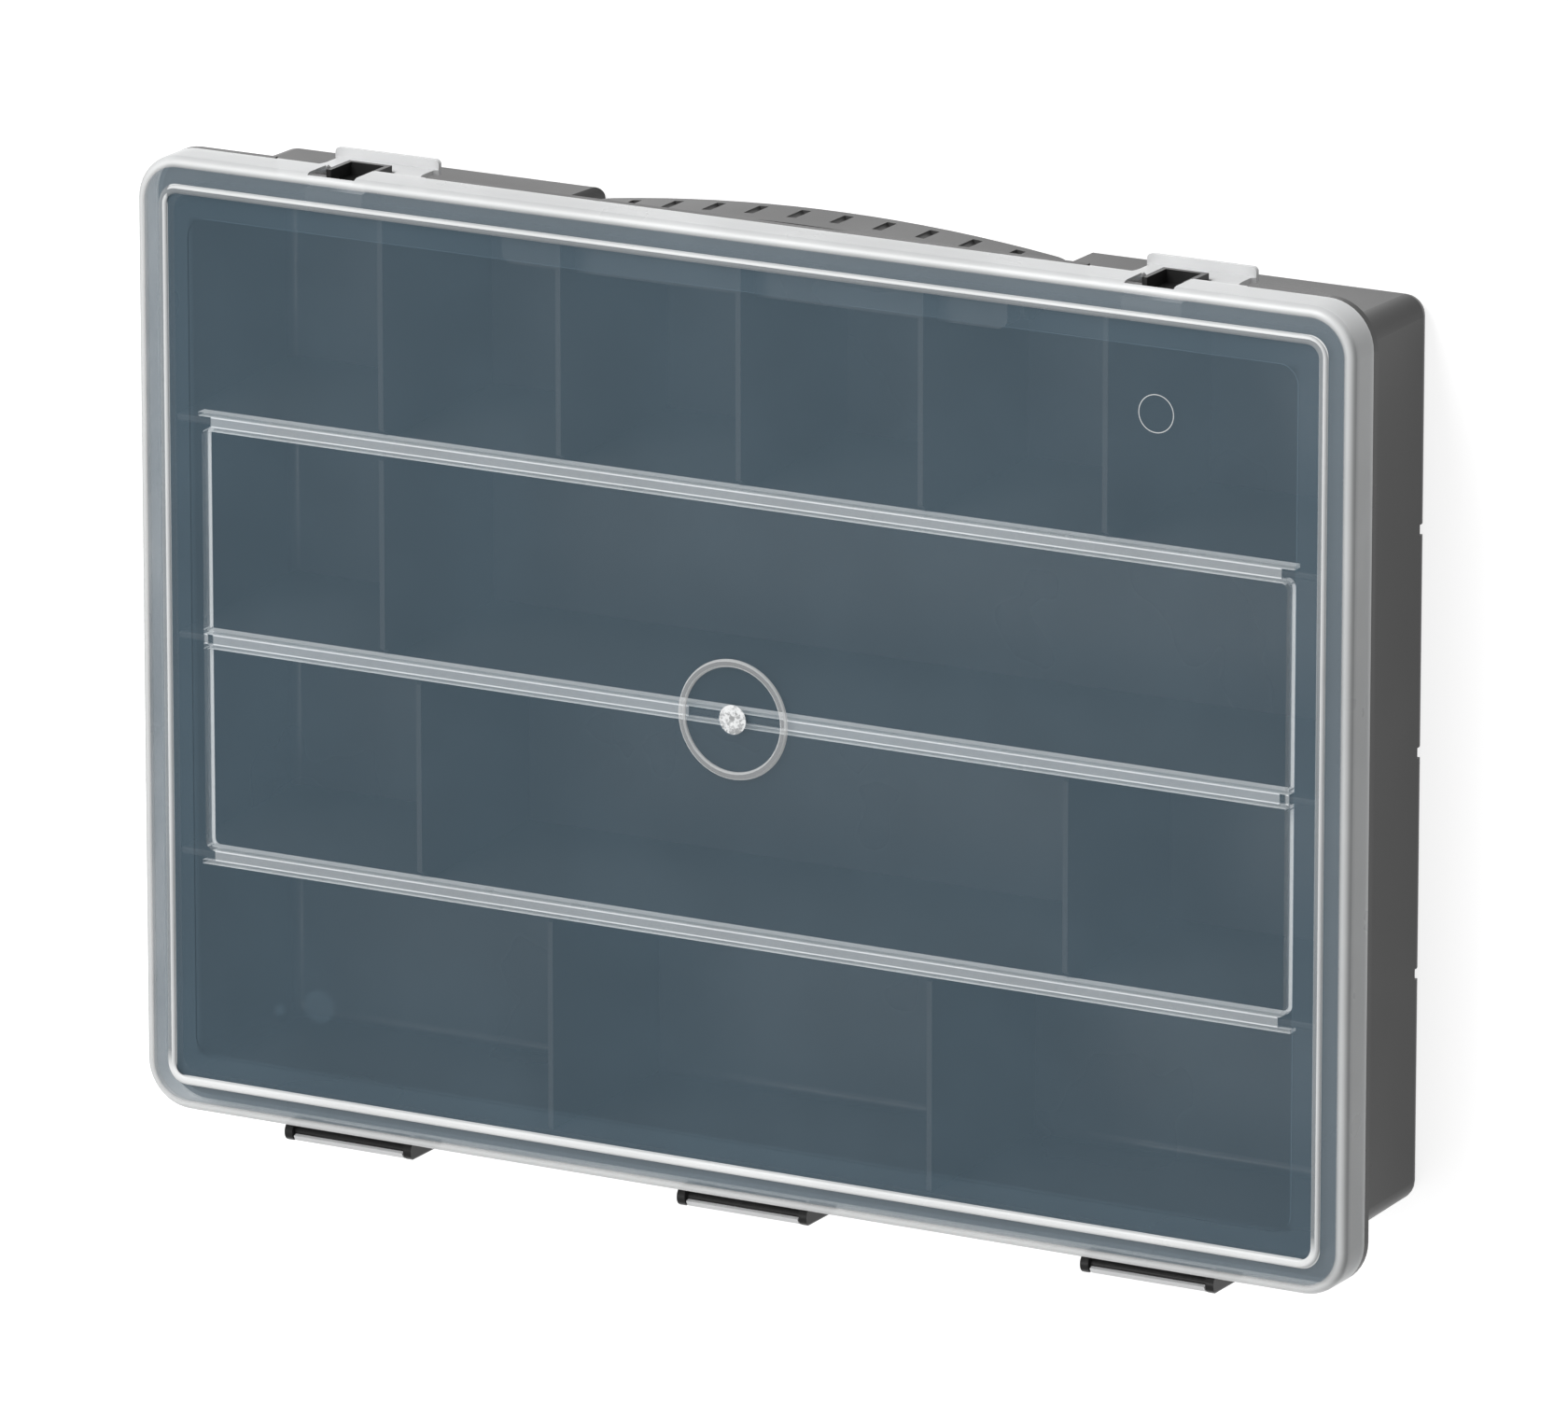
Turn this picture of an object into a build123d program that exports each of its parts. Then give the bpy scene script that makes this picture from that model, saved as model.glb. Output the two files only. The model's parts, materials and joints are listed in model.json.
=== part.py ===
from build123d import *
import math
import os

# Flat compartment organizer box: a black tray with fixed partitions, a translucent hinged lid,
# two snap latches and a fold-out carry handle. All sizes are in millimetres.
# The tray stands on z = 0, the handle side faces -Y, the hinge side faces +Y.

# Lid
LID_LENGTH = 335.0
LID_DEPTH = 244.0
LID_TOP = 58.0
LID_SKIRT = 10.0
LID_WALL = 1.8
LID_CORNER_RADIUS = 12.0
LID_EDGE_RADIUS = 2.6
LID_INNER_RADIUS = 1.2
BEAD_INSET = 8.1
BEAD_WIDTH = 2.2
BEAD_HEIGHT = 1.0
BEAD_CORNER_RADIUS = 4.5
BEAD_ROUNDING = 0.85
PANEL_INSET = 14.9
PANEL_STEP = 0.4
PANEL_CORNER_RADIUS = 5.0
CENTRE_RING_RADIUS = 15.0
CENTRE_RING_WIDTH = 1.8
CENTRE_RING_HEIGHT = 0.7
GATE_MARK_RADIUS = 4.0
GATE_MARK_HEIGHT = 0.3

# Double seal ribs under the lid
RIB_HEIGHT = 3.0
RIB_THICKNESS = 1.0
RIB_GAP = 2.6
RIB_FILL = 0.3
RIB_FRAME_INSET = 17.3
RIB_CORNER_RADIUS = 2.5
RIB_OVERRUN = 1.0
RIB_CLEARANCE = 0.35
RIB_NOTCH_HEADROOM = 0.3
RIB_DIP_FLANK = 1.2

# Tray
TRAY_WALL = 1.8
FLOOR_THICKNESS = 2.4
DRAFT_DEGREES = 1.2
FLANGE_THICKNESS = 2.0
FLANGE_OVERHANG = 8.0
TUB_CORNER_RADIUS = 5.0
TUB_BOTTOM_RADIUS = 4.0
FLOOR_FILLET = 2.5
SEAT_GAP = 0.1
RIM_CLEARANCE = 0.4

# Partitions
ROW_PITCH = 55.4
ROW_DIVIDER_BASE = 8.0
ROW_DIVIDER_CREST = 1.8
ROW_DIVIDER_ROUNDING = 0.6
ROW_DIVIDER_DROP = 0.3
GROOVE_BASE = 5.5
GROOVE_CREST = 1.0
GROOVE_STOP = 2.0
GROOVE_LEAD = 1.8
SIDE_NOTCH_WIDTH = 2.7
SIDE_NOTCH_HEIGHT = 4.5
SIDE_NOTCH_LIP = 3.15
CELL_DIVIDER_BASE = 2.0
CELL_DIVIDER_CREST = 1.4
CELL_DIVIDER_DROP = 0.8
FRONT_ROW_CELL = 49.9
SECOND_ROW_DIVIDER = 99.8
THIRD_ROW_DIVIDER = 89.7
BACK_ROW_DIVIDER = 52.8

# Carry handle and its recess in the front wall
HANDLE_LENGTH = 134.0
HANDLE_THICKNESS = 5.0
HANDLE_ARCH = 4.8
HANDLE_BOTTOM = 7.4
GRIP_WIDTH = 16.0
ARM_WIDTH = 12.5
FINGER_GAP_RADIUS = 2.0
HANDLE_PIVOT_HEIGHT = 38.0
HANDLE_PIN_RADIUS = 2.0
HANDLE_PIN_ENGAGEMENT = 1.8
PIN_CLEARANCE = 0.08
PIN_END_GAP = 0.3
HANDLE_END_GAP = 0.8
HANDLE_BACK_GAP = 0.8
HANDLE_END_RIB = 2.5
HANDLE_END_RIB_HEIGHT = 0.8
HANDLE_SKIN = 3.2
HANDLE_CORE_WALL = 2.2
HANDLE_CORE_RIB = 1.1
HANDLE_CORE_RIBS = 5
HANDLE_CORNER_RADIUS = 6.0
SCOOP_COUNT = 10
SCOOP_PITCH = 11.8
SCOOP_RADIUS = 1.3
SCOOP_LENGTH = 8.0
SCOOP_EDGE = 2.7
RECESS_DEPTH = 8.7
RECESS_CORNER_RADIUS = 3.4
RECESS_INNER_RADIUS = 1.0
PIVOT_BOSS_RADIUS = 4.5
PIVOT_BOSS_SKIN = 1.2

# Latches and catches
LATCH_SPACING = 224.6
LATCH_WIDTH = 27.3
LATCH_WING_WIDTH = 42.0
LATCH_THICKNESS = 1.3
LATCH_DROP = 19.35
LATCH_WINDOW = 13.2
LATCH_WINDOW_ROOF = 1.0
LATCH_NOTCH_GAP = 0.6
LATCH_BAR = 8.3
LATCH_LIP = 2.5
LATCH_LIP_WIDTH = 29.3
LATCH_LIP_ROUNDING = 1.2
LATCH_FLARE = 13.0
LATCH_BEND = 4.0
LATCH_KNUCKLE_RADIUS = 0.75
LATCH_KNUCKLE_INSET = 0.9
LATCH_KNUCKLE_TURN = 24.0
LATCH_PLATE_INSET = 2.6
LATCH_CLEARANCE = 0.2
CATCH_WIDTH = 12.1
CATCH_HEIGHT = 11.1
CATCH_WALL = 1.3
CATCH_PROUD = 3.3
CATCH_PLATFORM_WIDTH = 16.0
CATCH_PLATFORM_FOOT = 2.1
CATCH_BAR_GAP = 0.85

# Hinges
HINGE_SPACING = 111.7
HINGE_WIDTH = 36.3
HINGE_EAR_THICKNESS = 2.2
HINGE_EAR_RADIUS = 2.5
HINGE_EAR_DEPTH = 15.5
HINGE_EAR_ROUNDING = 0.9
HINGE_AXIS_OUT = 2.8
HINGE_AXIS_DROP = 6.8
HINGE_ROD_RADIUS = 1.2
HINGE_BORE_CLEARANCE = 0.1
HINGE_HOOK_THICKNESS = 1.1
HINGE_HOOK_SIDE_GAP = 0.4
HINGE_HOOK_MOUTH_START = 73.0
HINGE_HOOK_MOUTH_END = 250.0
HINGE_WEB_THICKNESS = 2.0

# How far a cut or a joining bar runs past the surface it meets, and how exactly edge heights are matched
CUT_MARGIN = 1.0
HEIGHT_TOLERANCE = 0.001

# Heights and half sizes that follow from the sizes above
LID_BOTTOM = LID_TOP - LID_SKIRT
LID_UNDERSIDE = LID_TOP - LID_WALL
PANEL_TOP = LID_TOP - PANEL_STEP
RIB_FRAME_HALF = LID_LENGTH / 2 - RIB_FRAME_INSET
FLANGE_TOP = LID_BOTTOM - SEAT_GAP
FLANGE_BOTTOM = FLANGE_TOP - FLANGE_THICKNESS
RIM_TOP = LID_UNDERSIDE - RIM_CLEARANCE
ROW_DIVIDER_TOP = RIM_TOP - ROW_DIVIDER_DROP
CELL_DIVIDER_TOP = RIM_TOP - CELL_DIVIDER_DROP
GROOVE_TOP = FLANGE_BOTTOM - GROOVE_STOP
RIM_HALF_LENGTH = LID_LENGTH / 2 - FLANGE_OVERHANG
RIM_HALF_DEPTH = LID_DEPTH / 2 - FLANGE_OVERHANG
SLOPE = math.tan(math.radians(DRAFT_DEGREES))
LID_FRONT = -LID_DEPTH / 2
LID_BACK = LID_DEPTH / 2
RECESS_BACK = -RIM_HALF_DEPTH + RECESS_DEPTH
RECESS_HALF = HANDLE_LENGTH / 2 + HANDLE_END_GAP
HANDLE_BACK = RECESS_BACK - HANDLE_BACK_GAP
HANDLE_FRONT = HANDLE_BACK - HANDLE_THICKNESS
HANDLE_PIVOT_Y = HANDLE_BACK - HANDLE_THICKNESS / 2
HINGE_Y = LID_BACK + HINGE_AXIS_OUT
HINGE_Z = LID_TOP - HINGE_AXIS_DROP
LATCH_FACE = LID_FRONT + LATCH_PLATE_INSET
CATCH_FACE = LATCH_FACE + LATCH_THICKNESS + LATCH_CLEARANCE
KNUCKLE_Y = LID_FRONT + LATCH_KNUCKLE_INSET
KNUCKLE_Z = LID_BOTTOM - LATCH_CLEARANCE - LATCH_KNUCKLE_RADIUS
LATCH_BOTTOM = LID_BOTTOM - LATCH_DROP
CATCH_BOTTOM = LATCH_BOTTOM + LATCH_BAR + CATCH_BAR_GAP
PIN_HOLE_END = RECESS_HALF + HANDLE_PIN_ENGAGEMENT + PIN_END_GAP
PIVOT_BOSS_END = PIN_HOLE_END + PIVOT_BOSS_SKIN
# The model's origin is the middle of its own footprint, which the hinge ears make longer at the back.
ORIGIN_SHIFT = -(LID_FRONT + HINGE_Y + HINGE_EAR_RADIUS) / 2

SIDES = {"left": -1, "right": 1}
HINGE_PLACES = {"left": -HINGE_SPACING, "middle": 0.0, "right": HINGE_SPACING}
ROW_DIVIDERS = {"front": -ROW_PITCH, "middle": 0.0, "back": ROW_PITCH}
FRONT_ROW_PLACES = [k * FRONT_ROW_CELL for k in range(-2, 3)]
ROW_CELL_DIVIDERS = [
    FRONT_ROW_PLACES,
    [SECOND_ROW_DIVIDER],
    [-THIRD_ROW_DIVIDER, THIRD_ROW_DIVIDER],
    [-BACK_ROW_DIVIDER, BACK_ROW_DIVIDER],
]


# Helpers

def block(x0, x1, y0, y1, z0, z1):
    """A box between two corners."""
    box = Box(x1 - x0, y1 - y0, z1 - z0, align=(Align.MIN, Align.MIN, Align.MIN))
    return Pos(x0, y0, z0) * box


def slab(length, depth, radius, z0, z1):
    """An upright plate with rounded vertical corners."""
    outline = Plane.XY.offset(z0) * RectangleRounded(length, depth, radius)
    return extrude(outline, amount=z1 - z0)


def row_start(row):
    """The y of the partition in front of a row, counted from the handle side."""
    return (row - 2) * ROW_PITCH


def along_x(profile_yz, x0, x1):
    """Extrude a profile, drawn with y to the right and z up, from x0 to x1."""
    return extrude(Plane.YZ.offset(x0) * profile_yz, amount=x1 - x0)


def bar_x(radius, y, z, x0, x1):
    """A round bar that lies along X."""
    return along_x(Pos(y, z) * Circle(radius), x0, x1)


def front_view(outline_xz, y0, y1):
    """Extrude an outline, drawn with x to the right and z up, from y0 back to y1."""
    return extrude(Plane.XZ.offset(-y0) * outline_xz, amount=-(y1 - y0))


def edges_at(shape, height):
    """The edges of a solid that lie flat at one height."""
    return shape.edges().filter_by_position(Axis.Z, height - HEIGHT_TOLERANCE, height + HEIGHT_TOLERANCE)


def tub_block(inset, z0, z1, corner_radius):
    """A block with the tray's drafted walls, drawn in by an inset."""
    narrowing = SLOPE * (RIM_TOP - z0) + inset
    length = 2 * (RIM_HALF_LENGTH - narrowing)
    depth = 2 * (RIM_HALF_DEPTH - narrowing)
    outline = Plane.XY.offset(z0) * RectangleRounded(length, depth, corner_radius)
    return extrude(outline, amount=z1 - z0, taper=-DRAFT_DEGREES)


# Tray

def tub_outside():
    """The tray's outer form with its rolled bottom edge, filled solid."""
    tub = tub_block(0, 0, RIM_TOP, TUB_CORNER_RADIUS)
    return fillet(edges_at(tub, 0), TUB_BOTTOM_RADIUS)


def recess_block(growth, top):
    """The space that the folded handle lies in, grown outward by a wall thickness."""
    half = RECESS_HALF + growth
    front = LID_FRONT - CUT_MARGIN
    space = block(-half, half, front, RECESS_BACK + growth, -CUT_MARGIN, top)
    back_edges = space.edges().filter_by(Axis.Z).group_by(Axis.Y)[-1]
    return fillet(back_edges, RECESS_INNER_RADIUS + growth)


def recess_opening():
    """The cut for the handle, with the front wall's two corners rounded into it."""
    cut = recess_block(0, FLANGE_BOTTOM)
    radius = RECESS_CORNER_RADIUS
    front = -RIM_HALF_DEPTH + SLOPE * (RIM_TOP - HANDLE_PIVOT_HEIGHT)
    for side in SIDES.values():
        corner_x = side * RECESS_HALF
        relief = block(0, radius, front - 2 * radius, front + radius, -CUT_MARGIN, FLANGE_BOTTOM)
        relief -= Pos(radius, front + radius, 0) * Cylinder(radius, 4 * LID_TOP)
        if side < 0:
            relief = relief.mirror(Plane.YZ)
        cut += Pos(corner_x, 0, 0) * relief
    return cut


def tray_inside():
    """The space inside the tray, with a radius at the foot of its walls."""
    inside = tub_block(TRAY_WALL, FLOOR_THICKNESS, LID_TOP, TUB_CORNER_RADIUS - TRAY_WALL)
    inside = fillet(edges_at(inside, FLOOR_THICKNESS), FLOOR_FILLET)
    inside -= recess_block(TRAY_WALL, FLANGE_TOP)
    return inside - pivot_bosses()


def pivot_bosses():
    """The two bosses that carry the handle's pins, behind the recess's end walls."""
    bosses = []
    for side in SIDES.values():
        low, high = sorted((side * RECESS_HALF, side * PIVOT_BOSS_END))
        bosses.append(bar_x(PIVOT_BOSS_RADIUS, HANDLE_PIVOT_Y, HANDLE_PIVOT_HEIGHT, low, high))
    return Compound(children=bosses)


def side_notch():
    """The low notch at a groove's end, seen from the side, with rounded lips."""
    half = SIDE_NOTCH_WIDTH / 2
    lip = SIDE_NOTCH_LIP
    base = lip + CUT_MARGIN
    stem = SIDE_NOTCH_HEIGHT + CUT_MARGIN
    outline = Pos(0, lip - base / 2) * Rectangle(2 * (half + lip), base)
    for side in SIDES.values():
        outline -= Pos(side * (half + lip), lip) * Circle(lip)
    return outline + Pos(0, SIDE_NOTCH_HEIGHT - stem / 2) * Rectangle(2 * half, stem)


def groove(y):
    """The hollow under a row partition: open below, and only as a low notch through the end walls."""
    foot = GROOVE_BASE / 2
    crest = GROOVE_CREST / 2
    profile = Polygon(
        (-foot - GROOVE_LEAD - CUT_MARGIN, -CUT_MARGIN),
        (foot + GROOVE_LEAD + CUT_MARGIN, -CUT_MARGIN),
        (foot, GROOVE_LEAD),
        (crest, GROOVE_TOP),
        (-crest, GROOVE_TOP),
        (-foot, GROOVE_LEAD),
        align=None,
    )
    end = LID_LENGTH / 2
    hollow = along_x(Pos(y, 0) * profile, -end, end)
    hollow &= tub_block(TRAY_WALL, -CUT_MARGIN, GROOVE_TOP + CUT_MARGIN, TUB_CORNER_RADIUS - TRAY_WALL)
    return hollow + along_x(Pos(y, 0) * side_notch(), -end, end)


def flange():
    """The flat rim that the lid's skirt rests on, with a notch at each latch."""
    rim = slab(LID_LENGTH, LID_DEPTH, LID_CORNER_RADIUS, FLANGE_BOTTOM, FLANGE_TOP)
    half = LATCH_WING_WIDTH / 2 + LATCH_NOTCH_GAP
    front = LID_FRONT - CUT_MARGIN
    bottom = FLANGE_BOTTOM - CUT_MARGIN
    for side in SIDES.values():
        x = side * LATCH_SPACING / 2
        rim -= block(x - half, x + half, front, CATCH_FACE, bottom, LID_TOP)
    return rim


def tray_shell(outside, inside, rim):
    """The tray without its partitions: walls, floor, flange, handle recess."""
    shell = outside + rim
    shell -= inside
    shell -= recess_opening()
    for y in ROW_DIVIDERS.values():
        shell -= groove(y)
    hole_radius = HANDLE_PIN_RADIUS + PIN_CLEARANCE
    for side in SIDES.values():
        low, high = sorted((side * (RECESS_HALF - CUT_MARGIN), side * PIN_HOLE_END))
        shell -= bar_x(hole_radius, HANDLE_PIVOT_Y, HANDLE_PIVOT_HEIGHT, low, high)
    return shell


def row_ridge(y):
    """The outer form of a long partition, wide at its foot and rounded at its crest."""
    foot = ROW_DIVIDER_BASE / 2
    crest = ROW_DIVIDER_CREST / 2
    profile = Polygon(
        (-foot, FLOOR_THICKNESS),
        (foot, FLOOR_THICKNESS),
        (crest, ROW_DIVIDER_TOP),
        (-crest, ROW_DIVIDER_TOP),
        align=None,
    )
    profile = fillet(profile.vertices().group_by(Axis.Y)[-1], ROW_DIVIDER_ROUNDING)
    return along_x(Pos(y, 0) * profile, -LID_LENGTH / 2, LID_LENGTH / 2)


def row_divider(y, inside):
    """A double-walled partition that runs the whole length of the tray."""
    return (row_ridge(y) & inside) - groove(y)


def rib_dip(y):
    """The dip in a cell divider's top, beside a long partition, that the seal ribs sit in."""
    reach = RIB_GAP / 2 + RIB_THICKNESS + RIB_CLEARANCE
    bottom = LID_UNDERSIDE - RIB_HEIGHT - RIB_CLEARANCE
    flank = reach + RIB_DIP_FLANK
    profile = Polygon(
        (-reach, bottom),
        (reach, bottom),
        (flank, CELL_DIVIDER_TOP),
        (flank, LID_TOP),
        (-flank, LID_TOP),
        (-flank, CELL_DIVIDER_TOP),
        align=None,
    )
    return along_x(Pos(y, 0) * profile, -LID_LENGTH / 2, LID_LENGTH / 2)


def cell_divider(x, row, inside):
    """A single-walled partition across one row, thinner at its top."""
    foot = CELL_DIVIDER_BASE / 2
    crest = CELL_DIVIDER_CREST / 2
    profile = Polygon(
        (x - foot, FLOOR_THICKNESS),
        (x + foot, FLOOR_THICKNESS),
        (x + crest, CELL_DIVIDER_TOP),
        (x - crest, CELL_DIVIDER_TOP),
        align=None,
    )
    last = len(ROW_CELL_DIVIDERS) - 1
    front = row_start(row) if row > 0 else LID_FRONT
    back = row_start(row + 1) if row < last else LID_BACK
    plate = front_view(profile, front, back) & inside
    for y in ROW_DIVIDERS.values():
        plate -= row_ridge(y)
        plate -= rib_dip(y)
    return plate


# Lid

def lid():
    """The lid's skirt and panel with its raised bead, cleared centre panel and centre ring."""
    cover = slab(LID_LENGTH, LID_DEPTH, LID_CORNER_RADIUS, LID_BOTTOM, LID_TOP)
    cover = fillet(edges_at(cover, LID_TOP), LID_EDGE_RADIUS)
    hollow = slab(
        LID_LENGTH - 2 * LID_WALL,
        LID_DEPTH - 2 * LID_WALL,
        LID_CORNER_RADIUS - LID_WALL,
        LID_BOTTOM - CUT_MARGIN,
        LID_UNDERSIDE,
    )
    cover -= fillet(edges_at(hollow, LID_UNDERSIDE), LID_INNER_RADIUS)
    cover += bead()
    length = LID_LENGTH - 2 * PANEL_INSET
    depth = LID_DEPTH - 2 * PANEL_INSET
    cover -= slab(length, depth, PANEL_CORNER_RADIUS, PANEL_TOP, LID_TOP + CUT_MARGIN)
    cover += centre_ring()
    for side in SIDES.values():
        cover -= latch_window(side * LATCH_SPACING / 2)
    return cover


def bead():
    """The rounded rib that frames the lid's top."""
    length = LID_LENGTH - 2 * BEAD_INSET
    depth = LID_DEPTH - 2 * BEAD_INSET
    half = BEAD_WIDTH / 2
    top = LID_TOP + BEAD_HEIGHT
    radius = BEAD_CORNER_RADIUS
    foot = LID_TOP - LID_WALL / 2
    rib = slab(length + 2 * half, depth + 2 * half, radius + half, foot, top)
    rib -= slab(length - 2 * half, depth - 2 * half, radius - half, foot - CUT_MARGIN, top + CUT_MARGIN)
    return fillet(edges_at(rib, top), BEAD_ROUNDING)


def centre_ring():
    """The raised ring round the moulding gate, and the low disc of the gate mark."""
    foot = PANEL_TOP - LID_WALL / 2
    top = PANEL_TOP + CENTRE_RING_HEIGHT
    up = (Align.CENTER, Align.CENTER, Align.MIN)
    ring = Cylinder(CENTRE_RING_RADIUS, top - foot, align=up)
    ring -= Cylinder(CENTRE_RING_RADIUS - CENTRE_RING_WIDTH, top - foot, align=up)
    ring = chamfer(edges_at(ring, top - foot), CENTRE_RING_HEIGHT / 2)
    mark = Cylinder(GATE_MARK_RADIUS, PANEL_TOP + GATE_MARK_HEIGHT - foot, align=up)
    return Pos(0, 0, foot) * Compound(children=[ring, mark])


def latch_window(x):
    """The gap in the lid's skirt that lets the catch through."""
    half = LATCH_WINDOW / 2
    inner = LID_FRONT + LID_WALL + LID_INNER_RADIUS
    top = LID_TOP - LATCH_WINDOW_ROOF
    return block(x - half, x + half, LID_FRONT - CUT_MARGIN, inner, LID_BOTTOM - CUT_MARGIN, top)


def rib_line(y, x0, x1):
    """One straight seal rib, centred on y."""
    half = RIB_THICKNESS / 2
    return block(x0, x1, y - half, y + half, LID_UNDERSIDE - RIB_HEIGHT, LID_UNDERSIDE)


def rib_fill(y, x0, x1):
    """The thicker strip of the lid between the two ribs of a pair."""
    half = RIB_GAP / 2
    return block(x0, x1, y - half, y + half, LID_UNDERSIDE - RIB_FILL, LID_UNDERSIDE)


def lid_seal_ribs():
    """Pairs of ribs that straddle the long partitions, framed at both ends."""
    offset = (RIB_GAP + RIB_THICKNESS) / 2
    depth = 2 * (ROW_PITCH - RIB_GAP / 2)
    half = RIB_FRAME_HALF
    bottom = LID_UNDERSIDE - RIB_HEIGHT
    inner = RIB_CORNER_RADIUS - RIB_THICKNESS
    ribs = slab(2 * half, depth, RIB_CORNER_RADIUS, bottom, LID_UNDERSIDE)
    ribs -= slab(
        2 * (half - RIB_THICKNESS),
        depth - 2 * RIB_THICKNESS,
        inner,
        bottom - CUT_MARGIN,
        LID_UNDERSIDE + CUT_MARGIN,
    )
    for y in (-offset, offset):
        ribs += rib_line(y, -half + RIB_THICKNESS, half - RIB_THICKNESS)
    fill_end = half - RIB_CORNER_RADIUS
    for side in SIDES.values():
        y = side * ROW_PITCH
        ribs += rib_line(y + side * offset, -half - RIB_OVERRUN, half + RIB_OVERRUN)
        ribs += rib_fill(y, -fill_end, fill_end)
    clear = CENTRE_RING_RADIUS - CENTRE_RING_WIDTH
    ribs += rib_fill(0, -fill_end, -clear)
    ribs += rib_fill(0, clear, fill_end)
    return ribs - rib_notch()


def rib_notch():
    """The gaps that let the frame's two end ribs sit over the middle long partition."""
    bottom = LID_UNDERSIDE - RIB_HEIGHT - CUT_MARGIN
    top = ROW_DIVIDER_TOP + RIB_NOTCH_HEADROOM
    crest = ROW_DIVIDER_CREST / 2 + RIB_CLEARANCE
    end = RIB_FRAME_HALF + CUT_MARGIN
    return block(-end, end, -crest, crest, bottom, top)


# Hinges

def hinge_ear():
    """One ear from the side: from the tray's wall round the flange's edge to the rod."""
    radius = HINGE_EAR_RADIUS
    wall = RIM_HALF_DEPTH - TRAY_WALL / 2
    bottom = HINGE_Z + radius - HINGE_EAR_DEPTH
    back = HINGE_Y + radius
    ear = Polygon(
        (wall, bottom),
        (back, bottom),
        (back, HINGE_Z),
        (HINGE_Y - radius, HINGE_Z),
        (HINGE_Y - radius, FLANGE_TOP),
        (wall, FLANGE_TOP),
        align=None,
    )
    corner = ear.vertices().group_by(Axis.Y)[0].sort_by(Axis.X)[-1]
    return fillet(corner, radius) + Pos(HINGE_Y, HINGE_Z) * Circle(radius)


def rounded_ear(x0, x1):
    """One ear with its two back edges rounded."""
    bottom = HINGE_Z + HINGE_EAR_RADIUS - HINGE_EAR_DEPTH
    back = HINGE_Y + HINGE_EAR_RADIUS
    envelope = block(x0, x1, RIM_HALF_DEPTH - TRAY_WALL, back, bottom - CUT_MARGIN, LID_TOP)
    back_edges = envelope.edges().filter_by(Axis.Z).group_by(Axis.Y)[-1]
    return along_x(hinge_ear(), x0, x1) & fillet(back_edges, HINGE_EAR_ROUNDING)


def hinge_bracket(x, outside, rim):
    """Two ears and the web between them, moulded to the tray's back wall under the flange."""
    half = HINGE_WIDTH / 2
    inner = half - HINGE_EAR_THICKNESS
    bracket = rounded_ear(x - half, x - inner) + rounded_ear(x + inner, x + half)
    wall = RIM_HALF_DEPTH - TRAY_WALL / 2
    bottom = HINGE_Z + HINGE_EAR_RADIUS - HINGE_EAR_DEPTH
    web_back = RIM_HALF_DEPTH + HINGE_WEB_THICKNESS
    bracket += block(x - half, x + half, wall, web_back, bottom, FLANGE_BOTTOM)
    return bracket - outside - rim


def hinge_rod(x):
    """The rod between a bracket's ears."""
    half = HINGE_WIDTH / 2 - HINGE_EAR_THICKNESS
    return bar_x(HINGE_ROD_RADIUS, HINGE_Y, HINGE_Z, x - half, x + half)


def hinge_hook(x):
    """The lid's open hook: a strip that passes under the rod and turns up behind it."""
    bore = HINGE_ROD_RADIUS + HINGE_BORE_CLEARANCE
    outer = bore + HINGE_HOOK_THICKNESS
    reach = 3 * outer
    start = math.radians(HINGE_HOOK_MOUTH_START)
    end = math.radians(HINGE_HOOK_MOUTH_END)
    mouth = Polygon(
        (0, 0),
        (reach * math.cos(start), reach * math.sin(start)),
        (-reach, reach),
        (-reach, -reach),
        (reach * math.cos(end), reach * math.sin(end)),
        align=None,
    )
    profile = Circle(outer) - Circle(bore) - mouth
    strip = (bore + outer) / 2
    profile += Pos(-HINGE_AXIS_OUT / 2, -strip) * Rectangle(HINGE_AXIS_OUT, HINGE_HOOK_THICKNESS)
    half = HINGE_WIDTH / 2 - HINGE_EAR_THICKNESS - HINGE_HOOK_SIDE_GAP
    return along_x(Pos(HINGE_Y, HINGE_Z) * profile, x - half, x + half)


# Latches

def latch_profile():
    """The latch from the side: knuckle, bend, plate and finger lip."""
    face = LATCH_FACE
    back = LATCH_FACE + LATCH_THICKNESS
    radius = LATCH_KNUCKLE_RADIUS
    turn = math.radians(LATCH_KNUCKLE_TURN)
    across = radius * math.cos(turn)
    up = radius * math.sin(turn)
    bend = KNUCKLE_Z - LATCH_BEND
    plate = Polygon(
        (face, LATCH_BOTTOM),
        (back, LATCH_BOTTOM),
        (back, bend),
        (KNUCKLE_Y + across, KNUCKLE_Z + up),
        (KNUCKLE_Y - across, KNUCKLE_Z - up),
        (face, bend + up),
        align=None,
    )
    lip = Pos((face - LATCH_LIP + back) / 2, LATCH_BOTTOM + LATCH_THICKNESS / 2)
    plate += lip * Rectangle(LATCH_LIP + LATCH_THICKNESS, LATCH_THICKNESS)
    plate += Pos(KNUCKLE_Y, KNUCKLE_Z) * Circle(radius)
    return plate


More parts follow.
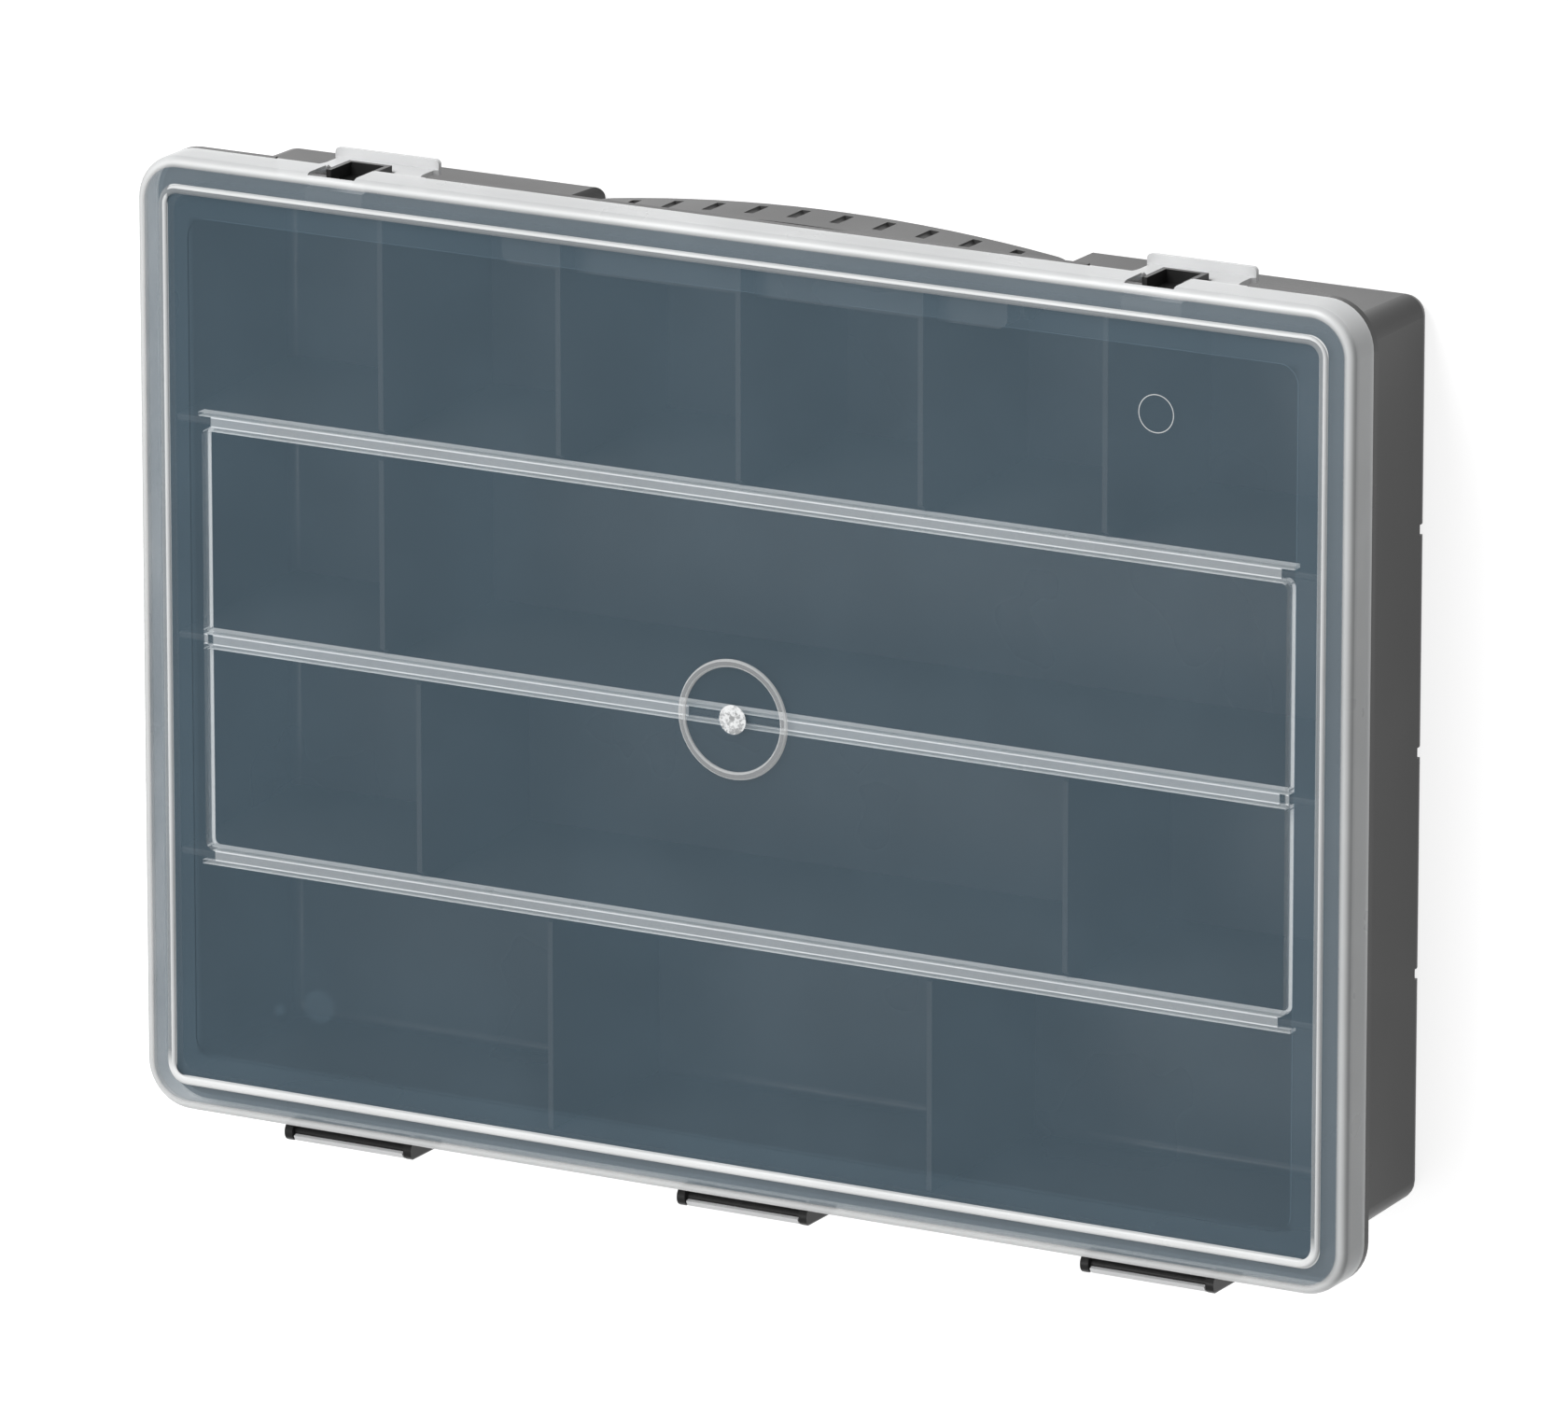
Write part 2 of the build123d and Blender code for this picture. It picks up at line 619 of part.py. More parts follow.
def latch_outline():
    """The latch from the front: a wide lip, a plate with flared wings and a window, about x = 0."""
    half = LATCH_WIDTH / 2
    lip = LATCH_LIP_WIDTH / 2
    shoulder = LATCH_BOTTOM + LATCH_THICKNESS
    waist = shoulder + lip - half
    wing = LATCH_WING_WIDTH / 2
    top = LID_BOTTOM
    flare = top - LATCH_FLARE
    with BuildSketch() as outline:
        with BuildLine():
            Line((0, LATCH_BOTTOM), (lip, LATCH_BOTTOM))
            Line((lip, LATCH_BOTTOM), (lip, shoulder))
            Line((lip, shoulder), (half, waist))
            Line((half, waist), (half, flare))
            Spline((half, flare), (wing, top), tangents=((0, 1), (0, 1)))
            Line((wing, top), (0, top))
            Line((0, top), (0, LATCH_BOTTOM))
        make_face()
        mirror(about=Plane.YZ)
    window_bottom = LATCH_BOTTOM + LATCH_BAR
    height = top + CUT_MARGIN - window_bottom
    gap = Pos(0, window_bottom + height / 2) * Rectangle(LATCH_WINDOW, height)
    return outline.sketch - gap


def latch(x):
    """A snap latch that hangs from the lid's front skirt."""
    half = LATCH_WING_WIDTH / 2
    sheet = along_x(latch_profile(), x - half, x + half)
    outline = Pos(x, 0) * latch_outline()
    plate = sheet & front_view(outline, LID_FRONT - CUT_MARGIN, CATCH_FACE + CUT_MARGIN)
    lip_corners = plate.edges().filter_by(Axis.Z).group_by(Axis.Y)[0]
    return fillet(lip_corners, LATCH_LIP_ROUNDING)


def latch_catch(x, outside, rim):
    """The black platform on the front wall with the open loop that holds the latch."""
    half = CATCH_PLATFORM_WIDTH / 2
    foot = CATCH_BOTTOM - CATCH_PLATFORM_FOOT
    catch = block(x - half, x + half, CATCH_FACE, -RIM_HALF_DEPTH + TRAY_WALL / 2, foot, RIM_TOP)
    half = CATCH_WIDTH / 2
    top = CATCH_BOTTOM + CATCH_HEIGHT
    loop = block(x - half, x + half, CATCH_FACE - CATCH_PROUD, CATCH_FACE, CATCH_BOTTOM, top)
    inner = half - CATCH_WALL
    loop -= block(
        x - inner,
        x + inner,
        CATCH_FACE - CATCH_PROUD - CUT_MARGIN,
        CATCH_FACE,
        CATCH_BOTTOM + CATCH_WALL,
        top + CUT_MARGIN,
    )
    return (catch + loop) - outside - rim


# Carry handle

def handle_arch(thickness_off):
    """The handle from above: flat back, arched front, drawn in by an offset at the front."""
    half = HANDLE_LENGTH / 2
    front = HANDLE_FRONT + thickness_off
    with BuildSketch() as plan:
        with BuildLine():
            ThreePointArc((-half, front), (0, front - HANDLE_ARCH), (half, front))
            Line((half, front), (half, HANDLE_BACK))
            Line((half, HANDLE_BACK), (-half, HANDLE_BACK))
            Line((-half, HANDLE_BACK), (-half, front))
        make_face()
    return plan.sketch


def arch_radius():
    """The radius of the handle's arched front."""
    half = HANDLE_LENGTH / 2
    return (half ** 2 + HANDLE_ARCH ** 2) / (2 * HANDLE_ARCH)


def arch_front(x):
    """The y of the handle's arched front at x."""
    radius = arch_radius()
    return HANDLE_FRONT - HANDLE_ARCH + radius - math.sqrt(radius ** 2 - x ** 2)


def handle_arm(side):
    """What one arm carries: its round end, the proud rib on its outside and its pin."""
    half = HANDLE_LENGTH / 2
    low, high = sorted((side * (half - ARM_WIDTH), side * half))
    arm = bar_x(HANDLE_THICKNESS / 2, HANDLE_PIVOT_Y, HANDLE_PIVOT_HEIGHT, low, high)
    low, high = sorted((side * (half - HANDLE_END_RIB), side * half))
    front = HANDLE_FRONT - HANDLE_END_RIB_HEIGHT
    foot = HANDLE_BOTTOM + HANDLE_CORNER_RADIUS
    arm += block(low, high, front, HANDLE_PIVOT_Y, foot, HANDLE_PIVOT_HEIGHT)
    pin_end = RECESS_HALF + HANDLE_PIN_ENGAGEMENT
    low, high = sorted((side * (half - CUT_MARGIN), side * pin_end))
    return arm + bar_x(HANDLE_PIN_RADIUS, HANDLE_PIVOT_Y, HANDLE_PIVOT_HEIGHT, low, high)


def finger_gap():
    """The space between the arms, above the grip."""
    half = HANDLE_LENGTH / 2 - ARM_WIDTH
    top = HANDLE_PIVOT_HEIGHT + HANDLE_THICKNESS
    bottom = HANDLE_BOTTOM + GRIP_WIDTH
    outline = Pos(0, (bottom + top) / 2) * Rectangle(2 * half, top - bottom)
    outline = fillet(outline.vertices().group_by(Axis.Y)[0], FINGER_GAP_RADIUS)
    return front_view(outline, HANDLE_FRONT - 2 * HANDLE_ARCH, HANDLE_BACK + CUT_MARGIN)


def handle_core():
    """The pocket in the back of the grip, split by thin ribs."""
    bottom = HANDLE_BOTTOM + HANDLE_CORE_WALL
    top = HANDLE_BOTTOM + GRIP_WIDTH - HANDLE_CORE_WALL
    front = HANDLE_FRONT - HANDLE_ARCH
    core = extrude(Plane.XY.offset(bottom) * handle_arch(HANDLE_SKIN), amount=top - bottom)
    end = HANDLE_LENGTH / 2 - ARM_WIDTH
    core &= block(-end, end, front, HANDLE_BACK + CUT_MARGIN, bottom, top)
    half_rib = HANDLE_CORE_RIB / 2
    for k in range(HANDLE_CORE_RIBS):
        x = (k - (HANDLE_CORE_RIBS - 1) / 2) * 2 * SCOOP_PITCH
        core -= block(x - half_rib, x + half_rib, front, HANDLE_BACK, bottom, top)
    return core


def finger_scoops():
    """The row of short grooves across the front of the grip."""
    scoops = []
    up = (Align.CENTER, Align.CENTER, Align.MIN)
    for k in range(SCOOP_COUNT):
        x = (k - (SCOOP_COUNT - 1) / 2) * SCOOP_PITCH
        place = Pos(x, arch_front(x), HANDLE_BOTTOM + SCOOP_EDGE)
        scoops.append(place * Cylinder(SCOOP_RADIUS, SCOOP_LENGTH, align=up))
    return Compound(children=scoops)


def carry_handle():
    """A fold-out bail handle: arched grip with finger scoops, two arms, pins and a cored back."""
    height = HANDLE_PIVOT_HEIGHT - HANDLE_BOTTOM
    handle = extrude(Plane.XY.offset(HANDLE_BOTTOM) * handle_arch(0), amount=height)
    lower = handle.edges().filter_by(Axis.Y).group_by(Axis.Z)[0]
    handle = fillet(lower, HANDLE_CORNER_RADIUS)
    handle -= finger_gap()
    handle -= handle_core()
    handle -= finger_scoops()
    for side in SIDES.values():
        handle += handle_arm(side)
    return handle


# Build every piece and write one file for each

def build():
    """All sub-parts by node name."""
    outside = tub_outside()
    inside = tray_inside()
    rim = flange()
    parts = {"tray_shell": tray_shell(outside, inside, rim)}
    for name, y in ROW_DIVIDERS.items():
        parts[f"row_divider_{name}"] = row_divider(y, inside)
    for row, places in enumerate(ROW_CELL_DIVIDERS):
        for number, x in enumerate(places):
            parts[f"cell_divider_row{row + 1}_{number + 1}"] = cell_divider(x, row, inside)
    for name, x in HINGE_PLACES.items():
        parts[f"hinge_bracket_{name}"] = hinge_bracket(x, outside, rim)
        parts[f"hinge_pin_{name}"] = hinge_rod(x)
        parts[f"lid_hinge_hook_{name}"] = hinge_hook(x)
    for name, side in SIDES.items():
        x = side * LATCH_SPACING / 2
        parts[f"latch_{name}"] = latch(x)
        parts[f"latch_catch_{name}"] = latch_catch(x, outside, rim)
    parts["carry_handle"] = carry_handle()
    parts["lid"] = lid()
    parts["lid_seal_ribs"] = lid_seal_ribs()
    return parts


def main():
    os.makedirs("parts", exist_ok=True)
    for name, shape in build().items():
        solids = [Pos(0, ORIGIN_SHIFT, 0) * solid for solid in shape.solids()]
        piece = solids[0] if len(solids) == 1 else Compound(children=solids)
        export_step(piece, f"parts/{name}.step")


main()
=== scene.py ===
import json

import bpy
from mathutils import Matrix, Vector

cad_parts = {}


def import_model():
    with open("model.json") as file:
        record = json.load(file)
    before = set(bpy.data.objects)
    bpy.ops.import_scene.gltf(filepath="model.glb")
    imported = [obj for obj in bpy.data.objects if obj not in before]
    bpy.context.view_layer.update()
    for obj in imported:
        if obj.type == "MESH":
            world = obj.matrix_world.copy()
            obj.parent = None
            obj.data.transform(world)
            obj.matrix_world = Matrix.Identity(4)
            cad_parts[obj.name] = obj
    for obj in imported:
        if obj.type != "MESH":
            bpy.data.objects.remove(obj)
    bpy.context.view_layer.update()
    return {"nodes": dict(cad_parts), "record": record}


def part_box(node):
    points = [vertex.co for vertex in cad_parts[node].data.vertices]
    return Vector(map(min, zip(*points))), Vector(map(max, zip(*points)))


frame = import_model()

# A flat compartment organizer box: black tray, translucent hinged lid, two latches, carry handle.
# Metres, in the frame of the model: +Z out of the lid, -Y the handle side, +Y the hinge side.

SCENE = bpy.context.scene
NODES = frame["nodes"]
BODIES = frame["record"]["behaviour"]["bodies"]

# The photograph's camera: where it stands, the point that it is aimed at, and its lens in millimetres
CAMERA_PLACE = (-1.731, -0.9954, 3.1589)
CAMERA_AIM = (-0.0143, -0.0076, 0.058)
CAMERA_LENS = 350.0
CAMERA_SENSOR = 36.0
CAMERA_REACH = 50.0

# The studio: each softbox with its place, its width and its power in watts, then surroundings and floor
LAMPS = {
    "key": ((0.6, -1.6, 1.6), 1.2, 36.0),
    "top": ((0.2, 0.2, 2.2), 1.5, 20.0),
}
WORLD_LIGHT = 0.52
FLOOR_HALF_WIDTH = 8.0
FLOOR_DROP = 0.0002
FLOOR_GREY = 0.5
FLOOR_GLOW = 0.8

# Where the lid's forms lie: radii, and insets from its outline
LID_CORNER = 0.012
LID_EDGE = 0.0026
LID_WALL = 0.0018
BEAD_INSET = 0.0081
BEAD_WIDTH = 0.0022
BEAD_HEIGHT = 0.001
PANEL_INSET = 0.0149
STEP_WIDTH = 0.0007
RING_RADIUS = 0.015
RING_WIDTH = 0.0018
GATE_RADIUS = 0.0038

# Where the seal ribs lie: the pitch of the pairs, the gap between two ribs, and a rib's thickness
ROW_PITCH = 0.0554
RIB_GAP = 0.0026
RIB_THICKNESS = 0.001

# Moulding marks on the lid: a blank ring and two faint discs, each with its middle and radius
MARK_RING = (-0.1148, -0.0934, 0.0047)
MARK_DISCS = ((0.1175, 0.0871, 0.0044), (0.1289, 0.0895, 0.0016))

# How wide the bright lines on the lid's edges are
LINE_WIDTH = 0.00022
RING_LINE = 1.5 * LINE_WIDTH
MARK_LINE = 0.00012

# How milky each form of the lid looks, from 0 (clear) to 1 (white)
PANEL_VEIL = 0.1
BORDER_VEIL = 0.122
DISC_VEIL = 0.12
EDGE_VEIL = 0.16
# The rim is milky all round, and milkier where it faces front and back than on the sides: painted light,
# the front lit and the sides in shade
RIM_VEIL_SHADED_SIDE = 0.62
RIM_VEIL_LIT_FRONT = 0.75
SKIRT_VEIL = 0.86
FOOT_VEIL = 0.9
# The bead's line and shoulder values are painted highlight; the shoulder's painted sheen is brighter along
# the back
BEAD_HIGHLIGHT_VEIL = 0.72
SHOULDER_HIGHLIGHT_FRONT = 0.24
SHOULDER_HIGHLIGHT_BACK = 0.8
RING_VEIL = 0.26
RING_LINE_VEIL = 0.52
MARK_VEIL = 0.55
GATE_VEILS = (0.35, 0.85)
RIB_VEIL = 0.25
RIB_LINE_VEIL = 0.97
RIB_FILL_VEIL = 0.37
LATCH_VEILS = (0.86, 0.95)
HOOK_VEILS = (0.8, 0.9)

# The milkiness from which the lid's tint is white
WHITE_VEIL = 0.26

# Where a mask fades: by how far the surface faces Y or Z, or in shares of the edge, wall or half bead
TINT_FACING_Y = (0.2, 0.9)
TINT_FACING_Z = (0.5, 0.95)
RIM_FACING_Y = (0.1, 0.5)
SKIRT_FACING_Z = (0.25, 0.7)
RIM_END = (0.6, 1.35)
FILLET_START = 0.8
OUTER_FACE = (0.2, 0.5)
BEAD_FLANK = 0.35

# Colours, linear
CLEAR_BLUE = (0.27, 0.41, 0.52)
MILKY_WHITE = (0.84, 0.85, 0.85)
LATCH_WHITE = (0.75, 0.755, 0.76)
# Painted shade on the lid's skirt: grey, darker on the sides facing X than on the front and back
SIDE_SHADE_GREY = (0.42, 0.43, 0.435)
FRONT_SHADE_GREY = (0.7, 0.71, 0.715)
BLACK = (0.019, 0.019, 0.019)
# The dividers' darker black is painted shade inside the box
INNER_SHADE_BLACK = (0.016, 0.016, 0.016)
# The handle's black is lifted lighter than the tray's: its own black plus a painted sheen
HANDLE_BLACK_AND_SHEEN = (0.07, 0.07, 0.07)

# Noise: cells in a metre, and how far each drifts from its middle
FLOW_SCALE = 14.0
CLOUD_SCALE = 26.0
TINT_SCALE = 35.0
VEIL_SCALE = 45.0
FROST_SCALE = 60.0
CRYSTAL_SCALE = 700.0
FROST_GRAIN_SCALE = 900.0
GRAIN_SCALE = 1900.0
BLACK_SPREAD = 0.12
TINT_SPREAD = 0.04
CLOUD_SPREAD = 0.05
SATIN_SPREAD = 0.04
FROST_SPREAD = 0.03

# The finest grain of the plastic, and its refraction
GRAIN_HEIGHT = 0.00001
FROST_STRENGTH = 0.05
PLASTIC_IOR = 1.49

LID_LOW, LID_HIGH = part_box("lid")
LID_MIDDLE = (LID_LOW + LID_HIGH) / 2
LID_FACE = LID_HIGH.z - BEAD_HEIGHT
RIB_LOW, RIB_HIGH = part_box("lid_seal_ribs")
RIB_MIDDLE = (RIB_LOW + RIB_HIGH) / 2


# Node helpers

def new_material(name):
    """A material with an empty node tree and its output node."""
    material = bpy.data.materials.new(name)
    material.use_nodes = True
    tree = material.node_tree
    tree.nodes.clear()
    output = tree.nodes.new("ShaderNodeOutputMaterial")
    return material, tree, output


def put(tree, kind, **settings):
    """A new node with its properties set."""
    node = tree.nodes.new(kind)
    for key, value in settings.items():
        setattr(node, key, value)
    return node


def feed(tree, socket, value):
    """A link where value is a socket, else a number or colour."""
    if isinstance(value, bpy.types.NodeSocket):
        tree.links.new(value, socket)
    else:
        socket.default_value = value


def math_node(tree, operation, first, second=0.0):
    """One arithmetic step on two sockets or numbers."""
    node = put(tree, "ShaderNodeMath", operation=operation)
    feed(tree, node.inputs[0], first)
    feed(tree, node.inputs[1], second)
    return node.outputs[0]


def times(tree, first, second):
    """Two masks or strengths multiplied."""
    return math_node(tree, "MULTIPLY", first, second)


def away(tree, value, middle):
    """How far a value lies from a middle, either way."""
    return math_node(tree, "ABSOLUTE", math_node(tree, "SUBTRACT", value, middle))


def span(tree, first, second):
    """The straight distance that two square offsets make."""
    squares = [times(tree, value, value) for value in (first, second)]
    return math_node(tree, "SQRT", math_node(tree, "ADD", *squares))


def largest(tree, values):
    """The largest of several values."""
    result = values[0]
    for value in values[1:]:
        result = math_node(tree, "MAXIMUM", result, value)
    return result


def opaque(colour):
    """A colour with full alpha."""
    return tuple(colour) + (1,)


def mixed(tree, factor, first, second):
    """Two colours mixed by a factor."""
    node = put(tree, "ShaderNodeMix", data_type="RGBA")
    feed(tree, node.inputs["Factor"], factor)
    feed(tree, node.inputs["A"], first)
    feed(tree, node.inputs["B"], second)
    return node.outputs["Result"]


def mapped(tree, value, low, high, new_low, new_high, smooth=True):
    """A value taken from one range to another, held at both ends."""
    node = put(tree, "ShaderNodeMapRange")
    node.interpolation_type = "SMOOTHSTEP" if smooth else "LINEAR"
    feed(tree, node.inputs["Value"], value)
    node.inputs["From Min"].default_value = low
    node.inputs["From Max"].default_value = high
    node.inputs["To Min"].default_value = new_low
    node.inputs["To Max"].default_value = new_high
    return node.outputs["Result"]


def band(tree, value, low, high, softness):
    """1 between two values and 0 outside them, with soft ends."""
    rise = mapped(tree, value, low - softness, low, 0.0, 1.0)
    fall = mapped(tree, value, high, high + softness, 1.0, 0.0)
    return times(tree, rise, fall)


def noise(tree, scale, detail=2.0, roughness=0.5):
    """A noise value in the model's own metres."""
    place = put(tree, "ShaderNodeTexCoord")
    node = put(tree, "ShaderNodeTexNoise")
    tree.links.new(place.outputs["Object"], node.inputs["Vector"])
    node.inputs["Scale"].default_value = scale
    node.inputs["Detail"].default_value = detail
    node.inputs["Roughness"].default_value = roughness
    return node.outputs["Fac"]


def drift(tree, value, low, high, reach=0.2):
    """A noise value spread between two limits, which it meets this far from its middle."""
    return mapped(tree, value, 0.5 - reach, 0.5 + reach, low, high)


def uneven(tree, flow, colour, spread):
    """A colour that a noise makes a share darker and lighter."""
    darker = opaque([level * (1 - spread) for level in colour])
    lighter = opaque([level * (1 + spread) for level in colour])
    return mixed(tree, flow, darker, lighter)


def bump(tree, height, strength):
    """A normal tilted by the finest grain."""
    node = put(tree, "ShaderNodeBump")
    feed(tree, node.inputs["Height"], height)
    node.inputs["Distance"].default_value = GRAIN_HEIGHT
    node.inputs["Strength"].default_value = strength
    return node.outputs["Normal"]


def coordinates(tree, kind="Object"):
    """A point's x, y and z in the model's frame, or its normal's."""
    place = put(tree, "ShaderNodeTexCoord")
    split = put(tree, "ShaderNodeSeparateXYZ")
    tree.links.new(place.outputs[kind], split.inputs[0])
    return split.outputs


def facing(tree, axis):
    """How far a surface faces along an axis of the model, either way: 1 square on, 0 edge on."""
    return math_node(tree, "ABSOLUTE", coordinates(tree, "Normal")[axis])


# Where a point lies on the lid

def lid_inset(tree, x, y):
    """How far a point lies inside the lid's rounded outline."""
    excess = []
    for value, low, high in ((x, LID_LOW.x, LID_HIGH.x), (y, LID_LOW.y, LID_HIGH.y)):
        offset = away(tree, value, (low + high) / 2)
        excess.append(math_node(tree, "SUBTRACT", offset, (high - low) / 2 - LID_CORNER))
    past = [math_node(tree, "MAXIMUM", value, 0.0) for value in excess]
    side = math_node(tree, "MINIMUM", math_node(tree, "MAXIMUM", *excess), 0.0)
    return math_node(tree, "SUBTRACT", LID_CORNER, math_node(tree, "ADD", span(tree, *past), side))


def distance_from(tree, x, y, middle_x, middle_y):
    """How far a point lies from an upright axis."""
    off_x = math_node(tree, "SUBTRACT", x, middle_x)
    off_y = math_node(tree, "SUBTRACT", y, middle_y)
    return span(tree, off_x, off_y)


def on_top(tree, z):
    """1 on the lid's upper face and 0 on the face beneath."""
    return mapped(tree, z, LID_FACE - LID_WALL / 2, LID_FACE - LID_WALL / 4, 0.0, 1.0)


def over_skirt(tree, z):
    """1 on the lid's rounded rim and above, 0 on its skirt."""
    return mapped(tree, z, LID_HIGH.z - 2 * LID_EDGE, LID_HIGH.z - LID_EDGE, 0.0, 1.0)


# How milky each form of the lid is, with painted light on the rim, skirt and bead

def rim_and_skirt(tree, inset, z):
    """The lid's rounded rim, the outer face of its skirt, and the skirt's foot."""
    rim_start, rim_end = RIM_END
    outer_start, outer_end = OUTER_FACE
    # Painted light: the rim brighter where it faces front and back, darker on the sides
    rim = mapped(tree, facing(tree, "Y"), *RIM_FACING_Y, RIM_VEIL_SHADED_SIDE, RIM_VEIL_LIT_FRONT)
    on_rim = mapped(tree, inset, LID_EDGE * rim_start, LID_EDGE * rim_end, 1.0, 0.0)
    on_fillet = mapped(tree, inset, LID_WALL * FILLET_START, LID_WALL, 1.0, 0.0)
    above = times(tree, largest(tree, [on_fillet, on_top(tree, z)]), over_skirt(tree, z))
    upright = mapped(tree, facing(tree, "Z"), *SKIRT_FACING_Z, 1.0, 0.0)
    outer = mapped(tree, inset, LID_WALL * outer_start, LID_WALL * outer_end, 1.0, 0.0)
    foot = mapped(tree, z, LID_LOW.z + 2 * LINE_WIDTH, LID_LOW.z + 3 * LINE_WIDTH, FOOT_VEIL, 0.0)
    skirt = times(tree, times(tree, upright, outer), SKIRT_VEIL)
    return [times(tree, times(tree, rim, on_rim), above), skirt, times(tree, foot, outer)]


def bead(tree, inset, x, y, z):
    """The raised bead, milky, with a painted highlight: a bright line on its inner flank along the +X side
    and on its outer flank elsewhere, and across it a painted sheen on the shoulder, brighter along the
    back."""
    across = math_node(tree, "SUBTRACT", inset, BEAD_INSET)
    half = BEAD_WIDTH / 2
    flank = half * BEAD_FLANK
    left_bead = LID_HIGH.x - BEAD_INSET
    at_left = mapped(tree, x, left_bead - BEAD_WIDTH, left_bead - half, 0.0, 1.0)
    elsewhere = math_node(tree, "SUBTRACT", 1.0, at_left)
    outer_line = times(tree, band(tree, across, -half, -flank, LINE_WIDTH), elsewhere)
    inner_line = times(tree, band(tree, across, flank, half, LINE_WIDTH), at_left)
    # The bright flank line is a painted highlight
    line = times(tree, largest(tree, [outer_line, inner_line]), BEAD_HIGHLIGHT_VEIL)
    back = LID_HIGH.y - BEAD_INSET
    behind = (back - BEAD_INSET, back - BEAD_WIDTH)
    # Painted sheen on the shoulder, growing brighter towards the back
    shoulder_highlight = mapped(tree, y, *behind, SHOULDER_HIGHLIGHT_FRONT, SHOULDER_HIGHLIGHT_BACK)
    shoulder = times(tree, band(tree, across, -half, half, LINE_WIDTH), shoulder_highlight)
    return [times(tree, largest(tree, [line, shoulder]), on_top(tree, z))]


def ring_and_marks(tree, x, y, z):
    """The centre ring, the gate mark in it, and the faint moulding marks."""
    radius = distance_from(tree, x, y, LID_MIDDLE.x, LID_MIDDLE.y)
    inner_edge = RING_RADIUS - RING_WIDTH
    on_ring = band(tree, radius, inner_edge, RING_RADIUS, LINE_WIDTH)
    outer_line = band(tree, radius, RING_RADIUS - RING_LINE, RING_RADIUS, LINE_WIDTH)
    inner_line = band(tree, radius, inner_edge, inner_edge + RING_LINE, LINE_WIDTH)
    on_gate = mapped(tree, radius, GATE_RADIUS - LINE_WIDTH, GATE_RADIUS, 1.0, 0.0)
    crystals = drift(tree, noise(tree, CRYSTAL_SCALE, 3.0, 0.7), *GATE_VEILS, reach=0.08)
    mark_x, mark_y, mark_radius = MARK_RING
    from_mark = distance_from(tree, x, y, mark_x, mark_y)
    on_mark = band(tree, from_mark, mark_radius - MARK_LINE, mark_radius, MARK_LINE)
    veils = [
        times(tree, on_ring, RING_VEIL),
        times(tree, largest(tree, [outer_line, inner_line]), RING_LINE_VEIL),
        times(tree, on_gate, crystals),
        times(tree, on_mark, MARK_VEIL),
    ]
    top = on_top(tree, z)
    veils = [times(tree, veil, top) for veil in veils]
    for disc_x, disc_y, disc_radius in MARK_DISCS:
        off = distance_from(tree, x, y, disc_x, disc_y)
        veils.append(mapped(tree, off, disc_radius - LINE_WIDTH, disc_radius, DISC_VEIL, 0.0))
    return veils


def lid_veil(tree):
    """The lid's milkiness by where its rim, skirt, bead, panel, ring and marks lie."""
    x, y, z = coordinates(tree)
    inset = lid_inset(tree, x, y)
    half = BEAD_WIDTH / 2
    border = mapped(tree, inset, PANEL_INSET, PANEL_INSET + STEP_WIDTH, BORDER_VEIL, PANEL_VEIL)
    edge = mapped(tree, inset, BEAD_INSET - half, BEAD_INSET + half, EDGE_VEIL, 0.0)
    veils = [border, edge] + rim_and_skirt(tree, inset, z) + bead(tree, inset, x, y, z)
    return largest(tree, veils + ring_and_marks(tree, x, y, z))


def rib_veil(tree):
    """The seal ribs: bright along their lower edges and both faces, milky between."""
    _, y, z = coordinates(tree)
    from_middle = away(tree, y, RIB_MIDDLE.y)
    off_pair = math_node(tree, "MINIMUM", from_middle, away(tree, from_middle, ROW_PITCH))
    inner = RIB_GAP / 2
    outer = inner + RIB_THICKNESS
    lines = largest(tree, [
        mapped(tree, z, RIB_LOW.z, RIB_LOW.z + 2 * LINE_WIDTH, 1.0, 0.0),
        band(tree, off_pair, inner - LINE_WIDTH, inner, LINE_WIDTH),
        band(tree, off_pair, outer, outer + LINE_WIDTH, LINE_WIDTH),
    ])
    in_gap = mapped(tree, off_pair, inner - LINE_WIDTH, inner, RIB_FILL_VEIL, RIB_VEIL)
    below_lid = mapped(tree, z, RIB_HIGH.z - LINE_WIDTH / 4, RIB_HIGH.z - LINE_WIDTH / 8, 1.0, 0.0)
    return times(tree, largest(tree, [in_gap, times(tree, lines, RIB_LINE_VEIL)]), below_lid)


def cloudy_veil(low, high):
    """A piece that is milky almost through, a little unevenly."""
    def veil(tree):
        return drift(tree, noise(tree, VEIL_SCALE), low, high, reach=0.15)
    return veil


# Tints of the milky plastic

def lid_tint(tree, veil):
    """Blue where the veil is thin, white where it is thick; on the skirt a painted shade of grey, darker on
    the sides than at the front and back.
    """
    x, y, _ = coordinates(tree)
    whiteness = mapped(tree, veil, BORDER_VEIL, WHITE_VEIL, 0.0, 1.0, smooth=False)
    tint = mixed(tree, whiteness, opaque(CLEAR_BLUE), opaque(MILKY_WHITE))
    to_front = mapped(tree, facing(tree, "Y"), *TINT_FACING_Y, 0.0, 1.0)
    # Painted shade: the skirt's grey, darker where it faces X
    grey = mixed(tree, to_front, opaque(SIDE_SHADE_GREY), opaque(FRONT_SHADE_GREY))
    upright = mapped(tree, facing(tree, "Z"), *TINT_FACING_Z, 1.0, 0.0)
    outer = mapped(tree, lid_inset(tree, x, y), LID_WALL, LID_EDGE, 1.0, 0.0)
    return mixed(tree, times(tree, upright, outer), tint, grey)


def plain_tint(colour):
    """One tint, a little uneven from the flow of the plastic."""
    def tint(tree, _veil):
        return uneven(tree, noise(tree, TINT_SCALE, 3.0), colour, TINT_SPREAD)
    return tint


# Materials

